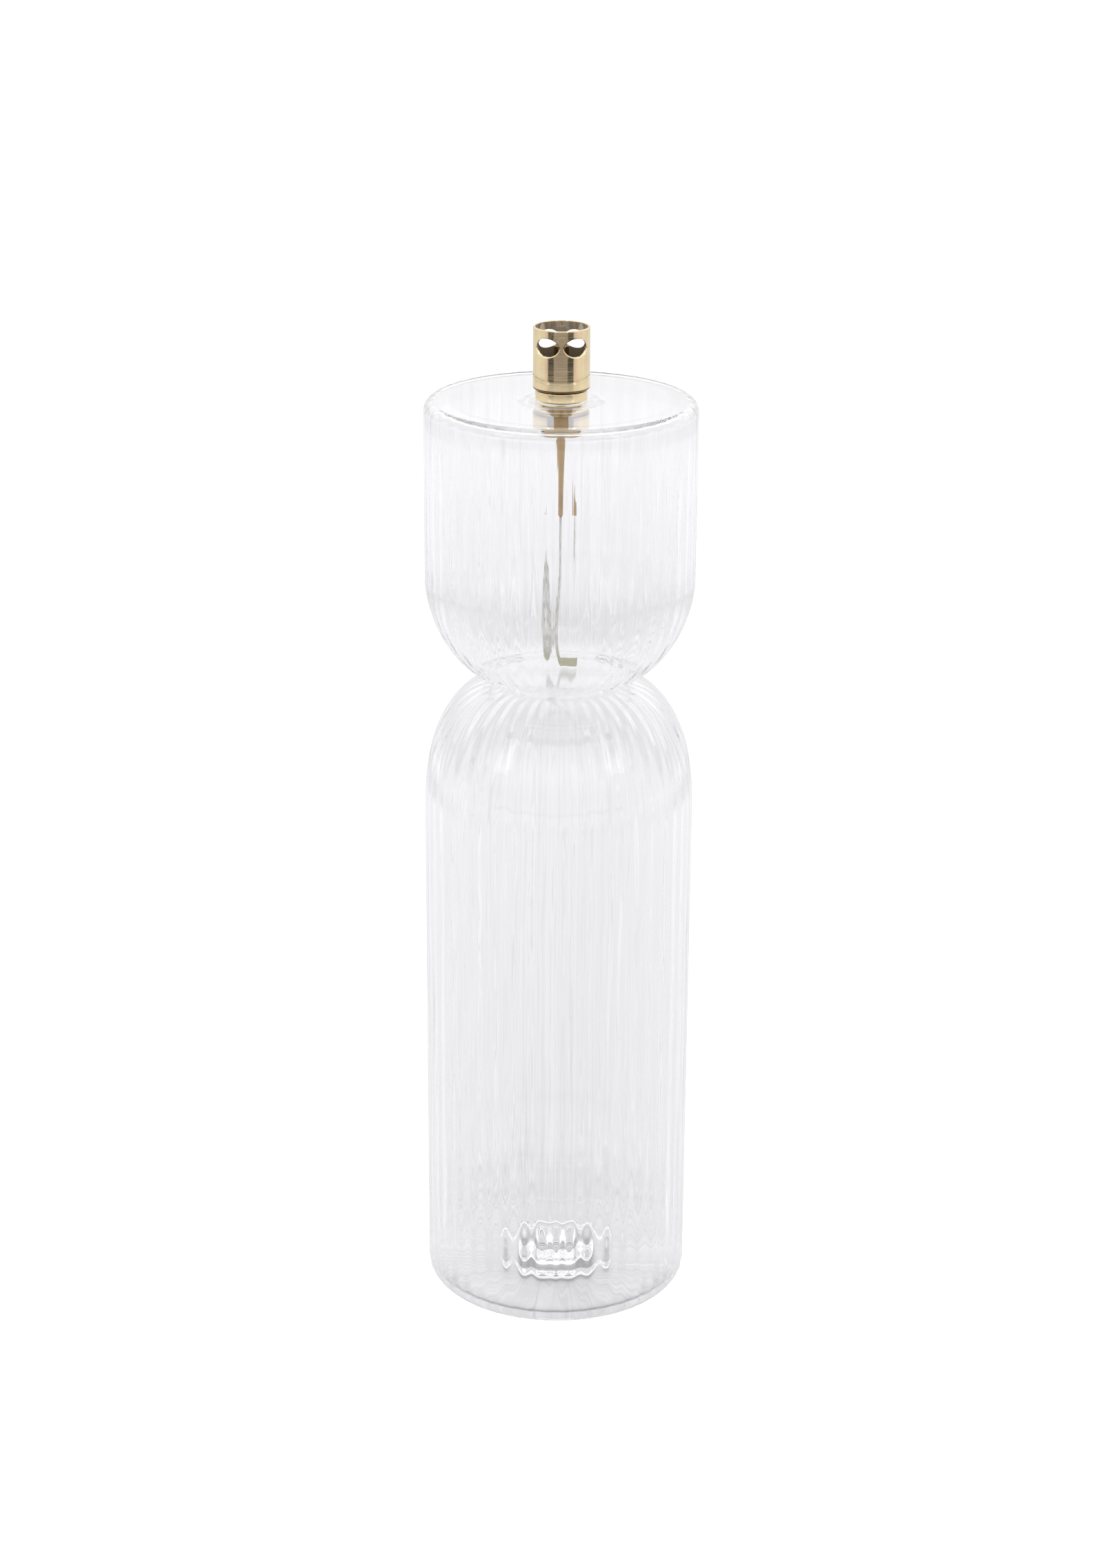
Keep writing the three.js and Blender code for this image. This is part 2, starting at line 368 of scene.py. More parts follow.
def makeBrass(name, settings, sleeve=False, brownBelow=None):
    material, tree, shader = newMaterial(name)
    shader.inputs["Metallic"].default_value = 1
    patina = objectNoise(tree, settings["patinaSize"], 6, 0.6)
    color = ramp(tree, patina, [(0.30, settings["dull"]), (0.55, settings["gold"])])
    place = tree.nodes.new("ShaderNodeTexCoord")
    split = tree.nodes.new("ShaderNodeSeparateXYZ")
    tree.links.new(place.outputs["Object"], split.inputs[0])
    # Below this height the piece is drawn in the tube's brown
    if brownBelow:
        below = calc(tree, "LESS_THAN", split.outputs["Z"], brownBelow)
        color = blendColor(tree, below, color, brownedFinish["gold"])
    if sleeve:
        x, y = split.outputs["X"], split.outputs["Y"]
        squares = calc(tree, "ADD", calc(tree, "MULTIPLY", x, x), calc(tree, "MULTIPLY", y, y))
        radius = calc(tree, "SQRT", squares)
        joint = sleeveLow.z + settings["jointShadeHeight"]
        # Painted shade: inside the wall, above the joint, the sleeve is drawn darker and less metallic
        shadedInside = calc(tree, "LESS_THAN", radius, sleeveHigh.x - settings["insideFrom"])
        above = calc(tree, "GREATER_THAN", split.outputs["Z"], joint)
        color = blendColor(tree, calc(tree, "MULTIPLY", shadedInside, above), color, settings["inside"])
        metal = spread(tree, shadedInside, 1.0, settings["insideMetal"])
        tree.links.new(metal, shader.inputs["Metallic"])
        # Painted shade: a dark band along the sleeve's foot, where it meets the plug's flange
        color = blendColor(tree, calc(tree, "LESS_THAN", split.outputs["Z"], joint), color, settings["joint"])
    tree.links.new(color, shader.inputs["Base Color"])
    wear = objectNoise(tree, settings["wearSize"], 5, 0.65, (1, 1, 3))
    tree.links.new(spread(tree, wear, *settings["polish"]), shader.inputs["Roughness"])
    turning = objectNoise(tree, settings["turningSize"], 2, 0.5, (0.05, 0.05, 8))
    bump(tree, shader, turning, settings["turningStrength"], settings["turningHeight"])
    return material


siliconeFinish = {
    "milky": (0.66, 0.69, 0.64),
    "clear": (0.78, 0.80, 0.76),
    "bloomSize": 300,
    "grain": 1800,
    "grainHeight": 0.00003,
}


def makeSilicone(settings):
    material, tree, shader = newMaterial("siliconeRubber")
    shader.inputs["Roughness"].default_value = 0.5
    shader.inputs["Subsurface Weight"].default_value = 0.3
    shader.inputs["Subsurface Scale"].default_value = 0.001
    bloom = objectNoise(tree, settings["bloomSize"], 4, 0.6)
    color = ramp(tree, bloom, [(0.3, settings["milky"]), (0.7, settings["clear"])])
    tree.links.new(color, shader.inputs["Base Color"])
    tree.links.new(spread(tree, bloom, 0.42, 0.6), shader.inputs["Roughness"])
    bump(tree, shader, objectNoise(tree, settings["grain"], 3), 0.3, settings["grainHeight"])
    return material


fibreFinish = {
    "shade": (0.24, 0.235, 0.225),
    "thread": (0.50, 0.495, 0.475),
    "oiled": (0.30, 0.29, 0.20),
    "oiledBelow": 0.2165,     # the end that lies on the floor has drawn up oil
    "oiledFade": 0.004,
    "strandSize": 1400,
    "strandHeight": 0.00006,
}


def makeFibre(settings):
    material, tree, shader = newMaterial("glassFibre")
    shader.inputs["Sheen Weight"].default_value = 0.4
    strands = objectNoise(tree, settings["strandSize"], 4, 0.6, (1, 1, 0.3))
    color = ramp(tree, strands, [(0.25, settings["shade"]), (0.6, settings["thread"])])
    place = tree.nodes.new("ShaderNodeTexCoord")
    split = tree.nodes.new("ShaderNodeSeparateXYZ")
    tree.links.new(place.outputs["Object"], split.inputs[0])
    low = tree.nodes.new("ShaderNodeMapRange")
    low.inputs["From Min"].default_value = settings["oiledBelow"] + settings["oiledFade"]
    low.inputs["From Max"].default_value = settings["oiledBelow"]
    tree.links.new(split.outputs["Z"], low.inputs["Value"])
    color = blendColor(tree, low.outputs["Result"], color, settings["oiled"])
    tree.links.new(color, shader.inputs["Base Color"])
    tree.links.new(spread(tree, strands, 0.75, 0.95), shader.inputs["Roughness"])
    bump(tree, shader, strands, 0.5, settings["strandHeight"])
    return material


standGlass = makeClearGlass("standGlass", glassFinish)
cupGlass = makeClearGlass("cupGlass", glassFinish)
plugBrass = makeBrass("plugBrass", brassFinish, brownBelow=cupHigh.z + 0.0002)
sleeveBrass = makeBrass("sleeveBrass", brassFinish, sleeve=True)
tubeBrass = makeBrass("tubeBrass", {**brassFinish, **brownedFinish})
siliconeRubber = makeSilicone(siliconeFinish)
glassFibre = makeFibre(fibreFinish)
print("materials made")


# The wick: one braid on a path, used for the free tail and for the stretch in the tube
wickShape = {
    "radius": (wickHigh.x - wickLow.x) / 2,
    "strandsAround": 8,
    "braidPitch": 0.0042,
    "braidDepth": 0.00016,
    "ringGap": 0.00025,
    "around": 64,
    "exit": (0, 0, 0.2633),
    "tail": [
        (0, 0, 0.2630), (0, 0, 0.2600), (0, 0, 0.2570), (-0.00005, 0, 0.2540), (-0.0002, -0.00005, 0.2505),
        (-0.0005, -0.00015, 0.2470), (-0.00095, -0.0003, 0.2430), (-0.0015, -0.0005, 0.2390),
        (-0.0021, -0.00065, 0.2350), (-0.00265, -0.00075, 0.2310), (-0.00305, -0.00075, 0.2275),
        (-0.00315, -0.0006, 0.2240), (-0.0028, -0.0003, 0.2206), (-0.0019, 0.0001, 0.2176),
        (-0.0005, 0.0006, 0.2154), (0.0013, 0.0012, 0.2141), (0.0032, 0.0018, 0.2137),
        (0.0049, 0.0023, 0.21365),
    ],
}


def smoothRoute(points, gap):
    points = [Vector(point) for point in points]
    ends = [points[0] * 2 - points[1]] + points + [points[-1] * 2 - points[-2]]
    fine = []
    for i in range(1, len(ends) - 2):
        a, b, c, d = ends[i - 1:i + 3]
        steps = max(2, round((c - b).length / gap))
        for step in range(steps):
            t = step / steps
            fine.append(0.5 * (2 * b + (c - a) * t + (2 * a - 5 * b + 4 * c - d) * t * t
                               + (3 * b - 3 * c + d - a) * t * t * t))
    fine.append(points[-1])
    return fine


def pathLength(points):
    return sum((b - a).length for a, b in zip(points, points[1:]))


def makeBraidTree():
    tree, given, output = newTree("braidedWick", [
        ("Radius", "Float"), ("Strands", "Float"), ("Pitch", "Float"), ("Depth", "Float"),
        ("Around", "Int"), ("Material", "Material"),
    ])
    toCurve = tree.nodes.new("GeometryNodeMeshToCurve")
    tree.links.new(given.outputs["Geometry"], toCurve.inputs[0])
    along = tree.nodes.new("GeometryNodeSplineParameter")
    keepAlong = tree.nodes.new("GeometryNodeCaptureAttribute")
    keepAlong.capture_items.new("FLOAT", "along")
    tree.links.new(toCurve.outputs[0], keepAlong.inputs["Geometry"])
    tree.links.new(along.outputs["Length"], keepAlong.inputs["along"])
    circle = tree.nodes.new("GeometryNodeCurvePrimitiveCircle")
    tree.links.new(given.outputs["Around"], circle.inputs["Resolution"])
    tree.links.new(given.outputs["Radius"], circle.inputs["Radius"])
    around = tree.nodes.new("GeometryNodeSplineParameter")
    keepAround = tree.nodes.new("GeometryNodeCaptureAttribute")
    keepAround.capture_items.new("FLOAT", "around")
    tree.links.new(circle.outputs["Curve"], keepAround.inputs["Geometry"])
    tree.links.new(around.outputs["Factor"], keepAround.inputs["around"])
    sweep = tree.nodes.new("GeometryNodeCurveToMesh")
    sweep.inputs["Fill Caps"].default_value = True
    tree.links.new(keepAlong.outputs["Geometry"], sweep.inputs["Curve"])
    tree.links.new(keepAround.outputs["Geometry"], sweep.inputs["Profile Curve"])
    # Two families of strands cross, and each strand goes over and under the others
    turns = calc(tree, "MULTIPLY", keepAround.outputs["around"], given.outputs["Strands"])
    climb = calc(tree, "DIVIDE", keepAlong.outputs["along"], given.outputs["Pitch"])
    climb = calc(tree, "MULTIPLY", climb, given.outputs["Strands"])
    right = calc(tree, "MULTIPLY", calc(tree, "ADD", turns, climb), math.pi)
    left = calc(tree, "MULTIPLY", calc(tree, "SUBTRACT", turns, climb), math.pi)
    crestRight = calc(tree, "ABSOLUTE", calc(tree, "COSINE", right))
    crestLeft = calc(tree, "ABSOLUTE", calc(tree, "COSINE", left))
    over = calc(tree, "SINE", calc(tree, "MULTIPLY", climb, 2 * math.pi))
    liftRight = calc(tree, "MULTIPLY", crestRight, calc(tree, "MULTIPLY_ADD", over, 0.3, 0.7))
    liftLeft = calc(tree, "MULTIPLY", crestLeft, calc(tree, "MULTIPLY_ADD", over, -0.3, 0.7))
    top = calc(tree, "MAXIMUM", liftRight, liftLeft)
    height = calc(tree, "MULTIPLY", calc(tree, "SUBTRACT", top, 1.0), given.outputs["Depth"])
    normal = tree.nodes.new("GeometryNodeInputNormal")
    push = tree.nodes.new("ShaderNodeVectorMath")
    push.operation = "SCALE"
    tree.links.new(normal.outputs[0], push.inputs[0])
    tree.links.new(height, push.inputs["Scale"])
    move = tree.nodes.new("GeometryNodeSetPosition")
    tree.links.new(sweep.outputs[0], move.inputs["Geometry"])
    tree.links.new(push.outputs[0], move.inputs["Offset"])
    finishTree(tree, output, move.outputs[0], given.outputs["Material"])
    return tree


braidTree = makeBraidTree()


def braidOnPath(name, path, settings):
    mesh = bpy.data.meshes.new(name)
    mesh.from_pydata(path, [(i, i + 1) for i in range(len(path) - 1)], [])
    piece = growPiece(linkPiece(name, mesh), braidTree, {
        "Radius": settings["radius"],
        "Strands": float(settings["strandsAround"]),
        "Pitch": settings["braidPitch"],
        "Depth": settings["braidDepth"],
        "Around": settings["around"],
        "Material": glassFibre,
    })
    faceOutwards(piece.data)
    piece.data.shade_smooth()
    return piece


tailPath = smoothRoute(wickShape["tail"], wickShape["ringGap"])
wickTail = braidOnPath("wickTail", tailPath, wickShape)
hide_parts("wick_tail")
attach(wickTail, "wick")

innerPath = smoothRoute([(0, 0, wickLow.z), (0, 0, (wickLow.z + wickHigh.z) / 2), (0, 0, wickHigh.z)],
                        wickShape["ringGap"])
wickInTube = braidOnPath("wickInTube", innerPath, wickShape)
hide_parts("wick")
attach(wickInTube, "wick")
print("wick braided, tail length", round(pathLength(tailPath), 4))


# The ribs of both glass vessels: the surface sinks between them, by the share stored on each point
def makeRibTree():
    tree, given, output = newTree("pressedRibs", [
        ("Ribs", "Int"), ("Depth", "Float"), ("Roundness", "Float"), ("Start", "Float"), ("Wander", "Float"),
        ("Uneven", "Float"), ("Climb", "Float"), ("Seed", "Float"), ("Material", "Material"),
    ])
    position = tree.nodes.new("GeometryNodeInputPosition")
    split = tree.nodes.new("ShaderNodeSeparateXYZ")
    tree.links.new(position.outputs[0], split.inputs[0])
    x, y = split.outputs["X"], split.outputs["Y"]
    angle = calc(tree, "ARCTAN2", y, x)
    around = combine(tree, calc(tree, "COSINE", angle), calc(tree, "SINE", angle),
                     calc(tree, "MULTIPLY", split.outputs["Z"], given.outputs["Climb"]))

    # Slow unevenness round the vessel, from about -0.4 to 0.4
    def drift(offset):
        noise = tree.nodes.new("ShaderNodeTexNoise")
        noise.noise_dimensions = "4D"
        noise.inputs["Scale"].default_value = 6.0
        noise.inputs["Detail"].default_value = 2.0
        tree.links.new(around, noise.inputs["Vector"])
        tree.links.new(calc(tree, "ADD", given.outputs["Seed"], offset), noise.inputs["W"])
        return calc(tree, "MULTIPLY_ADD", noise.outputs["Fac"], 2.0, -1.0)

    phase = calc(tree, "MULTIPLY_ADD", angle, given.outputs["Ribs"], given.outputs["Start"])
    phase = calc(tree, "MULTIPLY_ADD", drift(0.0), given.outputs["Wander"], phase)
    wave = calc(tree, "COSINE", phase)
    valley = calc(tree, "MULTIPLY_ADD", wave, -0.5, 0.5)
    valley = calc(tree, "POWER", valley, given.outputs["Roundness"])
    share = tree.nodes.new("GeometryNodeInputNamedAttribute")
    share.data_type = "FLOAT"
    share.inputs["Name"].default_value = "ribShare"
    depth = calc(tree, "MULTIPLY", calc(tree, "MULTIPLY_ADD", drift(7.0), given.outputs["Uneven"], 1.0),
                 given.outputs["Depth"])
    sink = calc(tree, "MULTIPLY", calc(tree, "MULTIPLY", valley, share.outputs["Attribute"]), depth)
    squares = calc(tree, "ADD", calc(tree, "MULTIPLY", x, x), calc(tree, "MULTIPLY", y, y))
    radius = calc(tree, "MAXIMUM", calc(tree, "POWER", squares, 0.5), 1e-6)
    inwards = calc(tree, "DIVIDE", calc(tree, "MULTIPLY", sink, -1.0), radius)
    offset = combine(tree, calc(tree, "MULTIPLY", x, inwards), calc(tree, "MULTIPLY", y, inwards), 0.0)
    move = tree.nodes.new("GeometryNodeSetPosition")
    tree.links.new(given.outputs["Geometry"], move.inputs["Geometry"])
    tree.links.new(offset, move.inputs["Offset"])
    finishTree(tree, output, move.outputs[0], given.outputs["Material"])
    return tree


ribTree = makeRibTree()
ribShape = {
    "count": 44,
    "depth": 0.0003,
    "roundness": 1.0,
    "columnsPerRib": 10,
    "curvedShare": 0.75,    # the ribs are a little shallower where the wall curves in
    "curvedFrom": 0.00025,  # this far in from the widest radius
    "curvedFade": 0.3,      # the share of the curve, from the seat, over which they fade
    "start": math.pi,       # a groove faces the front
    "wander": 1.1,
    "uneven": 0.8,
    "climb": 5.0,
}


# How strong the ribs are where the wall curves in towards a narrow seat
def curvedShare(radius, seat, outside):
    if radius > outside - ribShape["curvedFrom"]:
        return 1.0
    return ribShape["curvedShare"] * smoothstep((radius - seat) / (ribShape["curvedFade"] * (outside - seat)))


def ribbedVessel(name, outline, seed, glass):
    points = [(radius, height) for radius, height, share in outline]
    marks = [share for radius, height, share in outline]
    mesh = turnedMesh(name, points, ribShape["count"] * ribShape["columnsPerRib"], marks)
    piece = growPiece(linkPiece(name, mesh), ribTree, {
        "Ribs": ribShape["count"],
        "Depth": ribShape["depth"],
        "Roundness": ribShape["roundness"],
        "Start": ribShape["start"],
        "Wander": ribShape["wander"],
        "Uneven": ribShape["uneven"],
        "Climb": ribShape["climb"],
        "Seed": seed,
        "Material": glass,
    })
    piece.data.attributes.remove(piece.data.attributes["ribShare"])
    return piece


standShape = {
    "wall": 0.0020,
    "topWall": 0.0022,
    "seatRadius": 0.0185,
    "domeHeight": 0.042,
    "domeFullness": 2.23,
    "footRadius": 0.004,
    "baseThickness": 0.0032,
    "kickRadius": 0.025,
    "kickSlope": 0.007,
    "kickHeight": 0.0035,
    "ventRadius": 0.004,
    "ventRim": 0.0095,      # a low swelling stands up round the vent
    "ventRimHeight": 0.0030,
    "seed": 3.0,
}


def makeStand(settings):
    outside = standHigh.x
    top = standHigh.z
    seat = settings["seatRadius"]
    foot = settings["footRadius"]
    inside = outside - ribShape["depth"] - settings["wall"]
    domeBase = top - settings["domeHeight"]
    innerFoot = max(foot - settings["wall"], 0.001)

    def kick(radius):
        return settings["kickHeight"] * smoothstep((settings["kickRadius"] - radius) / settings["kickSlope"])

    def rim(radius):
        across = (radius - settings["ventRadius"]) / settings["ventRim"]
        return settings["ventRimHeight"] * math.sin(math.pi * min(across, 1)) ** 0.7 if across > 0 else 0.0

    def outerShare(radius, height):
        return min(curvedShare(radius, seat, outside) if height > foot else 1.0, smoothstep(height / foot))

    kickSteps = [settings["ventRadius"] + (settings["kickRadius"] - settings["ventRadius"]) * (i / 30) ** 1.2
                 for i in range(31)]
    thick = settings["baseThickness"]
    innerDome = shoulder(inside, seat - settings["topWall"], domeBase, top - settings["topWall"],
                         settings["domeFullness"], 26)
    inner = [(0, top - settings["topWall"])] + innerDome[::-1]
    inner += straight((inside, domeBase), (inside, thick + innerFoot), 14)
    inner += arc((inside - innerFoot, thick + innerFoot), innerFoot, 0, -90, 6)
    inner += [(radius, kick(radius) + thick + rim(radius)) for radius in kickSteps[::-1]]
    under = [(radius, kick(radius)) for radius in kickSteps]
    outer = arc((outside - foot, foot), foot, -90, 0, 10)
    outer += straight((outside, foot), (outside, domeBase), 24)
    outer += shoulder(outside, seat, domeBase, top, settings["domeFullness"], 48)
    outline = [(radius, height, 0.0) for radius, height in inner + under]
    outline += [(radius, height, outerShare(radius, height)) for radius, height in outer]
    outline += [(0, top, 0.0)]
    return ribbedVessel("standVessel", outline, settings["seed"], standGlass)


stand = makeStand(standShape)
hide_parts("stand_glass")
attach(stand, "glass")
print("stand blown:", len(stand.data.polygons), "faces")

cupShape = {
    "wall": 0.0018,
    "topThickness": 0.0020,
    "floorThickness": 0.0020,
    "seatRadius": 0.0185,
    "bowlHeight": 0.033,
    "bowlFullness": 1.78,
    "topEdge": 0.0034,
    "edgeSwell": 0.5,       # the ribs stand out on the rounded top edge
    "edgeFade": 0.3,        # and fade out over this share of it, towards the flat top
    "mouthRadius": 0.0071,
    "beadRadius": 0.0009,   # the rolled lower edge of the mouth
    "lipRadius": 0.0004,    # its rounded upper edge
    "ribsAtTop": 0.25,      # the ribs start shallow under the top and deepen downwards
    "ribsFullBelow": 0.026,
    "seed": 11.0,
}


def makeCup(settings):
    outside = cupHigh.x
    base, top = cupLow.z, cupHigh.z
    seat = settings["seatRadius"]
    edge = settings["topEdge"]
    mouth = settings["mouthRadius"]
    inside = outside - ribShape["depth"] - settings["wall"]
    innerSeat = seat - settings["wall"] / 2
    bowlTop = base + settings["bowlHeight"]
    floor = base + settings["floorThickness"]
    under = top - settings["topThickness"]
    innerEdge = max(edge - settings["wall"], 0.0008)
    flat = outside - edge

    def outerShare(radius, height):
        deepening = min((top - edge - height) / settings["ribsFullBelow"], 1.0)
        if height > top - edge:
            turned = min(max((radius - flat) / edge, 0.0), 1.0)
            depth = settings["ribsAtTop"] + settings["edgeSwell"] * math.sin(math.pi * turned)
            return smoothstep(turned / settings["edgeFade"]) * depth
        if height > bowlTop:
            return settings["ribsAtTop"] + (1 - settings["ribsAtTop"]) * deepening
        return curvedShare(radius, seat, outside)

    outer = shoulder(outside, seat, bowlTop, base, settings["bowlFullness"], 48)[::-1]
    outer += straight((outside, bowlTop), (outside, top - edge), 16)
    outer += arc((flat, top - edge), edge, 0, 90, 12)
    bead, lipRound = settings["beadRadius"], settings["lipRadius"]
    outer += straight((flat, top), (mouth + lipRound, top), 6)
    lip = arc((mouth + lipRound, top - lipRound), lipRound, 90, 180, 4)
    lip += arc((mouth + bead, under), bead, 180, 360, 14)
    inner = straight((mouth + 2 * bead, under), (inside - innerEdge, under), 6)
    inner += arc((inside - innerEdge, under - innerEdge), innerEdge, 90, 0, 8)
    inner += straight((inside, under - innerEdge), (inside, bowlTop), 10)
    inner += shoulder(inside, innerSeat, bowlTop, floor, settings["bowlFullness"], 30)
    outline = [(0, base, 0.0)]
    outline += [(radius, height, outerShare(radius, height)) for radius, height in outer]
    outline += [(radius, height, 0.0) for radius, height in lip]
    outline += [(radius, height, 0.0) for radius, height in inner]
    outline += [(0, floor, 0.0)]
    return ribbedVessel("reservoirVessel", outline, settings["seed"], cupGlass)


cup = makeCup(cupShape)
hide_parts("reservoir_glass")
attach(cup, "glass")
print("reservoir blown:", len(cup.data.polygons), "faces")


# Turned brass pieces and the seal
def turnedPiece(name, outline, columns, material, sharpAngle=28):
    mesh = turnedMesh(name, outline, columns)
    mesh.materials.append(material)
    mesh.set_sharp_from_angle(angle=math.radians(sharpAngle))
    return linkPiece(name, mesh)


plugShape = {
    "flangeRadius": 0.0081,
    "flangeBottom": cupHigh.z + 0.0003,
    "spigotRadius": 0.0067,
    "spigotBottom": cupHigh.z - 0.0032,
    "grooveRadius": 0.0050,
    "grooveHalf": 0.00105,
    "bore": 0.0026,
    "coneLip": 0.0007,
    "edge": 0.0004,
}


def makePlug(settings):
    top, bottom = plugHigh.z, plugLow.z
    flange, spigot = settings["flangeRadius"], settings["spigotRadius"]
    edge = settings["edge"]
    middle = (sealLow.z + sealHigh.z) / 2
    grooveLow, grooveHigh = middle - settings["grooveHalf"], middle + settings["grooveHalf"]
    bore, groove = settings["bore"], settings["grooveRadius"]
    outline = [(bore, top), (bore, bottom), (bore + settings["coneLip"], bottom)]
    outline += [(spigot, settings["spigotBottom"]), (spigot, grooveLow), (groove, grooveLow)]
    outline += [(groove, grooveHigh), (spigot, grooveHigh), (spigot, settings["flangeBottom"])]
    outline += [(flange - edge / 2, settings["flangeBottom"])]
    outline += arc((flange - edge / 2, settings["flangeBottom"] + edge / 2), edge / 2, -90, 0, 4)
    outline += arc((flange - edge, top - edge), edge, 0, 90, 6)
    return turnedPiece("burnerPlug", outline, 128, plugBrass)


plug = makePlug(plugShape)
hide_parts("burner_plug")
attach(plug, "burner")


tubeShape = {
    "wall": 0.0005,
    "lip": 0.00012,
}


def makeTube(settings):
    outer = tubeHigh.x
    bore = outer - settings["wall"]
    lip = settings["lip"]
    top, bottom = tubeHigh.z, tubeLow.z
    outline = [(bore, top - lip), (bore, bottom + lip), (bore + lip, bottom), (outer - lip, bottom)]
    outline += [(outer, bottom + lip), (outer, top - lip), (outer - lip, top), (bore + lip, top)]
    return turnedPiece("wickTube", outline, 64, tubeBrass)


tube = makeTube(tubeShape)
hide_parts("wick_tube")
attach(tube, "burner")


def makeSeal():
    radius = (sealHigh.z - sealLow.z) / 2
    centre = (sealHigh.x - radius, (sealHigh.z + sealLow.z) / 2)
    return turnedPiece("sealRing", arc(centre, radius, 0, 345, 23), 96, siliconeRubber, 180)


seal = makeSeal()
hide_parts("seal_ring")
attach(seal, "seal")
print("plug, tube and seal turned")

# The sleeve: one half with its pair of air holes, set round the axis by Geometry Nodes
sleeveShape = {
    "halves": 2,
    "pairSpread": 66,       # degrees between the two air holes of a pair
    "holeWidth": 0.0080,
    "holeHeight": 0.0057,
    "belowRim": 0.0053,
    "patchReach": 0.0045,   # how far the mesh round a hole reaches above and below its middle
    "lowerRow": 0.004,      # a row of edges this far under that mesh
    "wall": 0.0008,
    "floor": 0.0010,
    "floorBore": 0.0026,
    "edge": 0.00018,
    "holeEdge": 0.0003,
    "steps": 16,
    "sideColumns": 8,
}


def makeSleeveHalf(settings):
    outer = sleeveHigh.x
    inner = outer - settings["wall"]
    bottom, top = sleeveLow.z, sleeveHigh.z
    steps = settings["steps"]
    total = 4 * steps
    half = math.radians(settings["pairSpread"] / 2)
    side = 2 * math.pi / settings["halves"]
    middle = top - settings["belowRim"]
    reach = settings["patchReach"]
    edge = settings["edge"]
    holeEdge = settings["holeEdge"]
    verts = []
    faces = []
    known = {}

    def point(radius, angle, height):
        key = (round(radius, 7), round(angle, 6), round(height, 7))
        if key not in known:
            known[key] = len(verts)
            verts.append((radius * math.cos(angle), radius * math.sin(angle), height))
        return known[key]

    # A ring round the hole on a wall of this radius, this much larger than the hole
    def drilled(radius, larger, centre):
        ring = []
        for index in range(total):
            turn = index / total * 2 * math.pi - math.pi / 4
            across = (settings["holeWidth"] / 2 + larger) * math.cos(turn)
            up = (settings["holeHeight"] / 2 + larger) * math.sin(turn)
            ring.append((radius, centre + math.asin(across / radius), middle + up))
        return ring

    # A square of points round the hole, in the same order as the drill's turn
    def squareSide(index):
        part, step = divmod(index, steps)
        share = step / steps * 2 - 1
        return [(1, share), (-share, 1), (-1, -share), (share, -1)][part]

    def wallRings(first, radius, centre):
        rings = [first]
        for blend in (0.4, 0.75, 1.0):
            ring = []
            for index, (_, angle, height) in enumerate(first):
                across, up = squareSide(index)
                ring.append((radius, angle + (centre + across * half - angle) * blend,
                             height + (middle + up * reach - height) * blend))
            rings.append(ring)
        return rings

    def stitch(rings, flip):
        for lower, upper in zip(rings, rings[1:]):
            for index in range(total):
                after = (index + 1) % total
                corners = (lower[index], lower[after], upper[after], upper[index])
                face = [point(*corner) for corner in corners]
                faces.append(face[::-1] if flip else face)

    def bands(profile, columns):
        for (radiusA, heightA), (radiusB, heightB) in zip(profile, profile[1:]):
            for left, right in zip(columns, columns[1:]):
                faces.append([point(radiusA, left, heightA), point(radiusA, right, heightA),
                              point(radiusB, right, heightB), point(radiusB, left, heightB)])

    low, high = middle - reach, middle + reach
    rows = [middle + (2 * i / steps - 1) * reach for i in range(steps + 1)]
    lowerRow = low - settings["lowerRow"]
    floor, bore = bottom + settings["floor"], settings["floorBore"]
    rimWall = [(outer, high), (outer, top - edge), (outer - edge, top)]
    rimWall += [(inner + edge, top), (inner, top - edge), (inner, high)]
    lowWall = [(inner, low), (inner, lowerRow), (inner, floor), (bore, floor), (bore, bottom)]
    lowWall += [(outer - 2 * edge, bottom), (outer, bottom + 2 * edge), (outer, lowerRow), (outer, low)]
    for centre in (-half, half):
        outerHole = drilled(outer, holeEdge, centre)
        innerHole = drilled(inner, 0.0, centre)
        stitch(wallRings(outerHole, outer, centre), True)
        stitch([innerHole, drilled(outer - holeEdge, 0.0, centre), outerHole], True)
        stitch(wallRings(innerHole, inner, centre), False)
        columns = [centre + (2 * i / steps - 1) * half for i in range(steps + 1)]
        bands(rimWall, columns)
        bands(lowWall, columns)
    innerRows = [(inner, row) for row in rows[::-1][1:]]
    outerRows = [(outer, row) for row in rows[1:]]
    solidWall = rimWall + innerRows + lowWall[1:] + outerRows
    for start, end in ((-side / 2, -2 * half), (2 * half, side / 2)):
        bands(solidWall, [start + (end - start) * i / settings["sideColumns"]
                          for i in range(settings["sideColumns"] + 1)])
    mesh = bpy.data.meshes.new("sleeveHalf")
    mesh.from_pydata(verts, [], faces)
    return mesh


def makeRoundTree():
    tree, given, output = newTree("halvesRoundAxis", [
        ("Count", "Int"), ("Start", "Float"), ("Material", "Material"),
    ])
    line = tree.nodes.new("GeometryNodeMeshLine")
    line.inputs["Offset"].default_value = (0, 0, 0)
    tree.links.new(given.outputs["Count"], line.inputs["Count"])
    index = tree.nodes.new("GeometryNodeInputIndex")
    turn = calc(tree, "DIVIDE", index.outputs[0], given.outputs["Count"])
    turn = calc(tree, "MULTIPLY_ADD", turn, 2 * math.pi, given.outputs["Start"])
    onPoints = tree.nodes.new("GeometryNodeInstanceOnPoints")
    tree.links.new(line.outputs[0], onPoints.inputs["Points"])
    tree.links.new(given.outputs["Geometry"], onPoints.inputs["Instance"])
    tree.links.new(combine(tree, 0.0, 0.0, turn), onPoints.inputs["Rotation"])
    realize = tree.nodes.new("GeometryNodeRealizeInstances")
    tree.links.new(onPoints.outputs[0], realize.inputs[0])
    merge = tree.nodes.new("GeometryNodeMergeByDistance")
    merge.inputs["Distance"].default_value = 1e-6
    tree.links.new(realize.outputs[0], merge.inputs["Geometry"])
    finishTree(tree, output, merge.outputs[0], given.outputs["Material"])
    return tree


